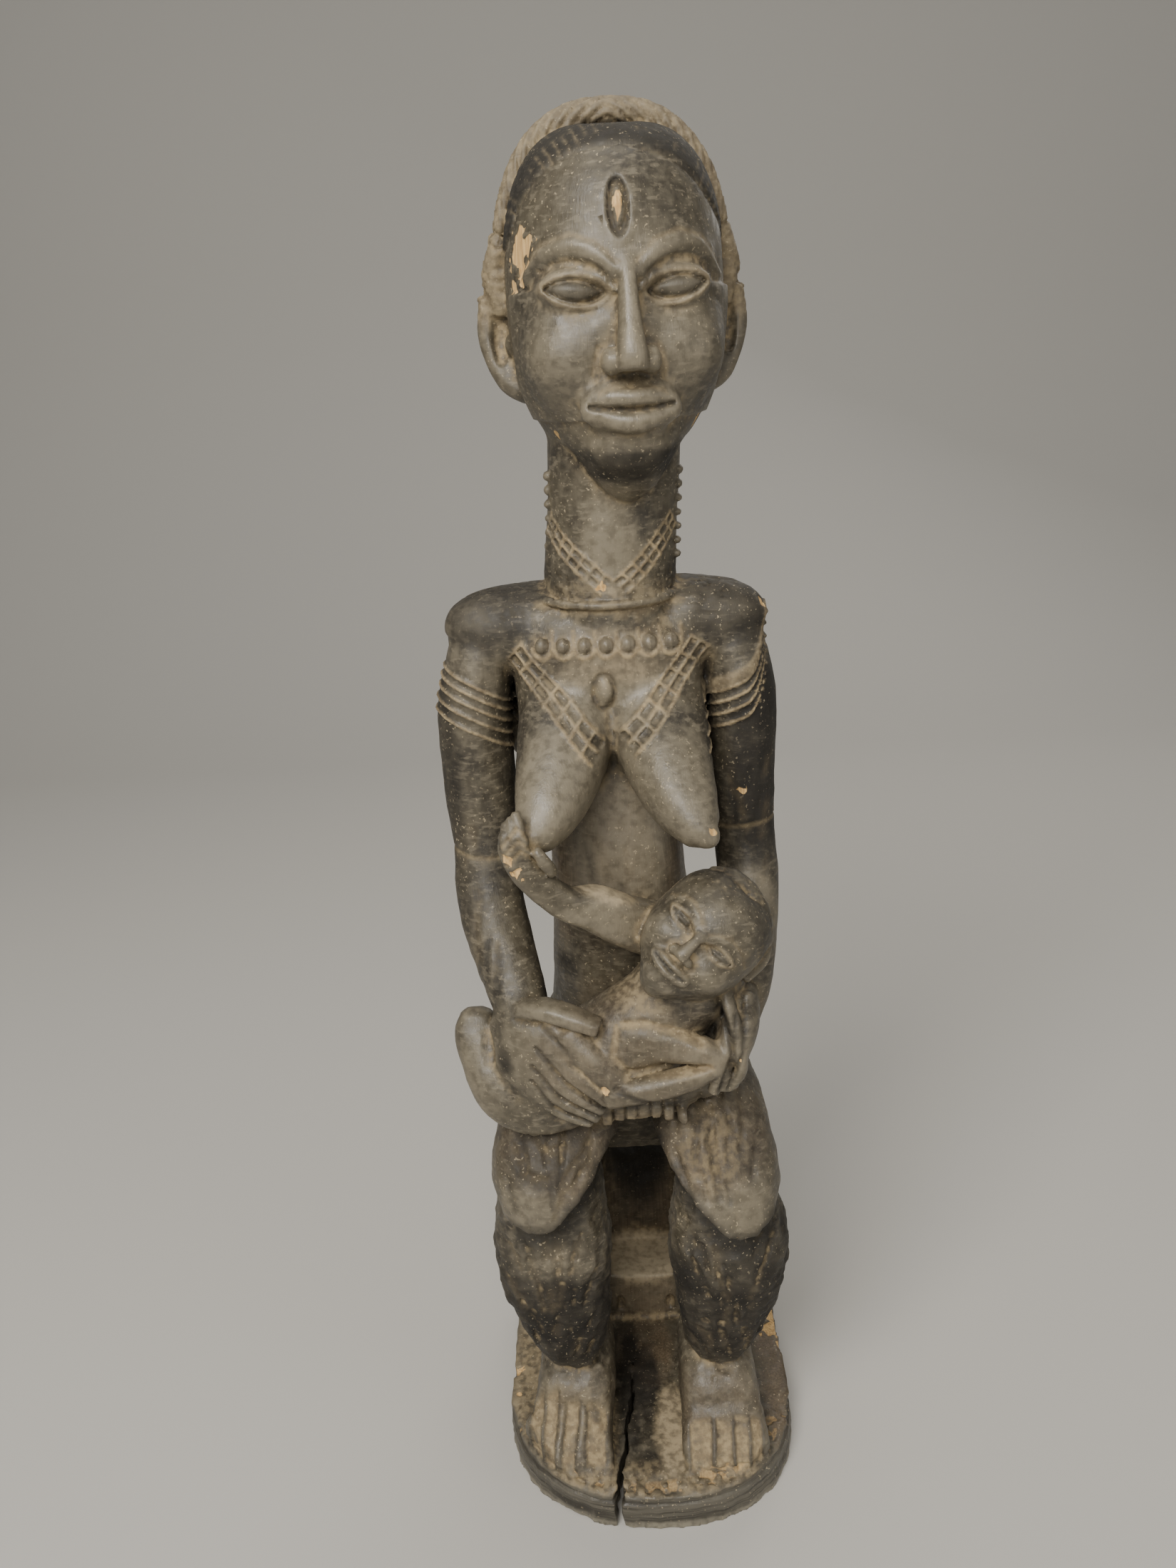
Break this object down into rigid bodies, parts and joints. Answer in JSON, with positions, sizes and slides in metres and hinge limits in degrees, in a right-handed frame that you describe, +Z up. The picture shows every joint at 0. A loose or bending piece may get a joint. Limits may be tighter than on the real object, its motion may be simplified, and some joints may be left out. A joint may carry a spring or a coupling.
{
  "type": "carved wooden maternity figure",
  "caption": "Carved wooden figure of a seated mother nursing a child, cut with her stool and round-fronted plinth from one log.",
  "frame": {"origin": "on the flat underside of the plinth, straight below the mother's neck", "axes": "+Z up, -Y the way the mother faces, +X to the right of someone looking at her face"},
  "size_m": [0.2184, 0.2432, 0.895],
  "materials": {
    "dark_wood": "dark worn patina with a low shine on the high places, ochre dust in the hollows and bare wood at the chips"
  },
  "bodies": {
    "root": {"maternity_figure": "dark_wood"}
  },
  "joints": []
}
